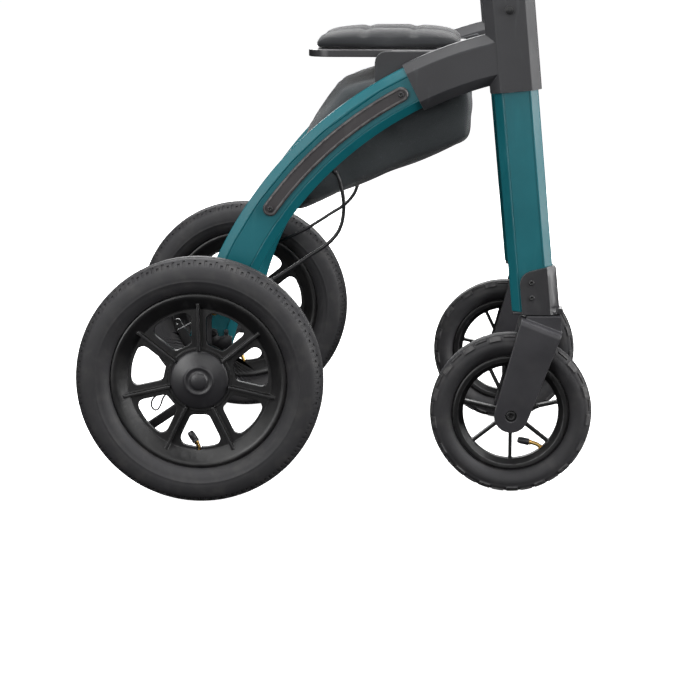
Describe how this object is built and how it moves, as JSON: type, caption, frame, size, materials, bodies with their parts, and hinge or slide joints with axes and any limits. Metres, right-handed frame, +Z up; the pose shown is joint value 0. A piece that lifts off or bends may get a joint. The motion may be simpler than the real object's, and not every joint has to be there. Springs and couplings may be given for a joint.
{
  "type": "rollator walking frame",
  "caption": "Walking frame on large air-tyred rear wheels and trailing front castors, with arched side frames, hand brakes, folding seat and bag; folds sideways.",
  "frame": {"origin": "on the floor, under the middle of the object's length and width", "axes": "+X the way it travels, towards the castors; +Y its left; +Z up"},
  "size_m": [0.658, 0.626, 0.8812],
  "materials": {
    "frame_teal": "satin powder coat",
    "joint_grey": "fine textured dark coat",
    "strip_grey": "satin moulded strip",
    "black_plastic": "fine grained moulding",
    "rim_black": "satin moulding",
    "fork_black": "satin moulding with a light grain",
    "tyre": "matt rubber",
    "steel": "turned",
    "dark_steel": "black oxide",
    "valve_brass": "worn",
    "cable_black": "smooth sheath",
    "handle_grey": "dark anodised",
    "grip_rubber": "ribbed",
    "lever_black": "satin",
    "seat_cover": "woven cover",
    "bag_cloth": "woven cloth"
  },
  "bodies": {
    "left_frame": {"rear_leg_left": "frame_teal", "front_upright_left": "frame_teal", "frame_junction_left": "joint_grey", "leg_strip_left": "strip_grey", "castor_housing_left": "black_plastic", "head_bearings_left": "steel", "frame_screws_left": "dark_steel", "axle_block_left": "black_plastic", "rear_axle_left": "steel", "brake_plate_left": "joint_grey", "brake_cable_left": "cable_black", "bag": "bag_cloth"},
    "seat_left": {"seat_panel_left": "black_plastic", "seat_cushion_left": "seat_cover"},
    "seat_right": {"seat_panel_right": "black_plastic", "seat_cushion_right": "seat_cover"},
    "right_frame": {"rear_leg_right": "frame_teal", "front_upright_right": "frame_teal", "frame_junction_right": "joint_grey", "leg_strip_right": "strip_grey", "castor_housing_right": "black_plastic", "head_bearings_right": "steel", "frame_screws_right": "dark_steel", "axle_block_right": "black_plastic", "rear_axle_right": "steel", "brake_plate_right": "joint_grey", "brake_cable_right": "cable_black"},
    "brace_left": {"brace_left": "handle_grey"},
    "brace_right": {"brace_right": "handle_grey"},
    "rear_wheel_left": {"rear_tyre_left": "tyre", "rear_rim_left": "rim_black", "hub_cap_left": "black_plastic", "rear_bearings_left": "steel", "rear_valve_left": "valve_brass"},
    "castor_left": {"castor_fork_left": "fork_black", "front_axle_left": "dark_steel"},
    "front_wheel_left": {"front_tyre_left": "tyre", "front_rim_left": "rim_black", "front_bearings_left": "steel", "front_valve_left": "valve_brass"},
    "handle_left": {"handle_tube_left": "handle_grey", "grip_left": "grip_rubber"},
    "brake_lever_left": {"brake_lever_left": "lever_black"},
    "brake_arm_left": {"brake_arm_left": "dark_steel"},
    "rear_wheel_right": {"rear_tyre_right": "tyre", "rear_rim_right": "rim_black", "hub_cap_right": "black_plastic", "rear_bearings_right": "steel", "rear_valve_right": "valve_brass"},
    "castor_right": {"castor_fork_right": "fork_black", "front_axle_right": "dark_steel"},
    "front_wheel_right": {"front_tyre_right": "tyre", "front_rim_right": "rim_black", "front_bearings_right": "steel", "front_valve_right": "valve_brass"},
    "handle_right": {"handle_tube_right": "handle_grey", "grip_right": "grip_rubber"},
    "brake_lever_right": {"brake_lever_right": "lever_black"},
    "brake_arm_right": {"brake_arm_right": "dark_steel"}
  },
  "joints": [
    {"name": "seat_fold", "type": "hinge", "parent": "left_frame", "child": "seat_left", "pos_m": [0.1, 0.178, 0.556], "axis": [-1, 0, 0], "range_deg": [0, 78], "deforming": ["bag"]},
    {"name": "seat_middle", "type": "hinge", "parent": "seat_left", "child": "seat_right", "pos_m": [0.06, 0, 0.556], "axis": [1, 0, 0], "range_deg": [0, 156]},
    {"name": "seat_hinge_right", "type": "hinge", "parent": "seat_right", "child": "right_frame", "pos_m": [0.1, -0.178, 0.556], "axis": [-1, 0, 0], "range_deg": [0, 78]},
    {"name": "brace_fold", "type": "hinge", "parent": "left_frame", "child": "brace_left", "pos_m": [0.23199, 0.178, 0.45], "axis": [-1, 0, 0], "range_deg": [0, 78]},
    {"name": "brace_middle", "type": "hinge", "parent": "brace_left", "child": "brace_right", "pos_m": [0.23199, 0, 0.45], "axis": [1, 0, 0], "range_deg": [0, 156]},
    {"name": "rear_wheel_spin_left", "type": "hinge", "parent": "left_frame", "child": "rear_wheel_left", "pos_m": [-0.1715, 0.285, 0.1575], "axis": [0, 1, 0], "continuous": true},
    {"name": "castor_swivel_left", "type": "hinge", "parent": "left_frame", "child": "castor_left", "pos_m": [0.2595, 0.2155, 0.238], "axis": [0, 0, 1], "continuous": true},
    {"name": "front_wheel_spin_left", "type": "hinge", "parent": "castor_left", "child": "front_wheel_left", "pos_m": [0.2245, 0.2155, 0.1045], "axis": [0, 1, 0], "continuous": true},
    {"name": "handle_height_left", "type": "slide", "parent": "left_frame", "child": "handle_left", "axis": [-0.0958, 0, 0.9954], "range_m": [0, 0.12]},
    {"name": "brake_squeeze_left", "type": "hinge", "parent": "handle_left", "child": "brake_lever_left", "pos_m": [0.13705, 0.2155, 0.82798], "axis": [0, 1, 0], "range_deg": [0, 12], "stiffness_Nm_per_rad": 0.6, "springref_deg": -14.32},
    {"name": "brake_arm_turn_left", "type": "hinge", "parent": "left_frame", "child": "brake_arm_left", "pos_m": [-0.1865, 0.2415, 0.189], "axis": [0, 1, 0], "range_deg": [0, 12]},
    {"name": "rear_wheel_spin_right", "type": "hinge", "parent": "right_frame", "child": "rear_wheel_right", "pos_m": [-0.1715, -0.285, 0.1575], "axis": [0, 1, 0], "continuous": true},
    {"name": "castor_swivel_right", "type": "hinge", "parent": "right_frame", "child": "castor_right", "pos_m": [0.2595, -0.2155, 0.238], "axis": [0, 0, 1], "continuous": true},
    {"name": "front_wheel_spin_right", "type": "hinge", "parent": "castor_right", "child": "front_wheel_right", "pos_m": [0.2245, -0.2155, 0.1045], "axis": [0, 1, 0], "continuous": true},
    {"name": "handle_height_right", "type": "slide", "parent": "right_frame", "child": "handle_right", "axis": [-0.0958, 0, 0.9954], "range_m": [0, 0.12]},
    {"name": "brake_squeeze_right", "type": "hinge", "parent": "handle_right", "child": "brake_lever_right", "pos_m": [0.13705, -0.2155, 0.82798], "axis": [0, 1, 0], "range_deg": [0, 12], "stiffness_Nm_per_rad": 0.6, "springref_deg": -14.32},
    {"name": "brake_arm_turn_right", "type": "hinge", "parent": "right_frame", "child": "brake_arm_right", "pos_m": [-0.1865, -0.2415, 0.189], "axis": [0, 1, 0], "range_deg": [0, 12]}
  ],
  "couplings": [
    {"joint": "seat_middle", "follows": "seat_fold", "ratio": 2},
    {"joint": "seat_hinge_right", "follows": "seat_fold", "ratio": 1},
    {"joint": "brace_fold", "follows": "seat_fold", "ratio": 1},
    {"joint": "brace_middle", "follows": "seat_fold", "ratio": 2},
    {"joint": "brake_arm_turn_left", "follows": "brake_squeeze_left", "ratio": 1},
    {"joint": "brake_arm_turn_right", "follows": "brake_squeeze_right", "ratio": 1}
  ]
}
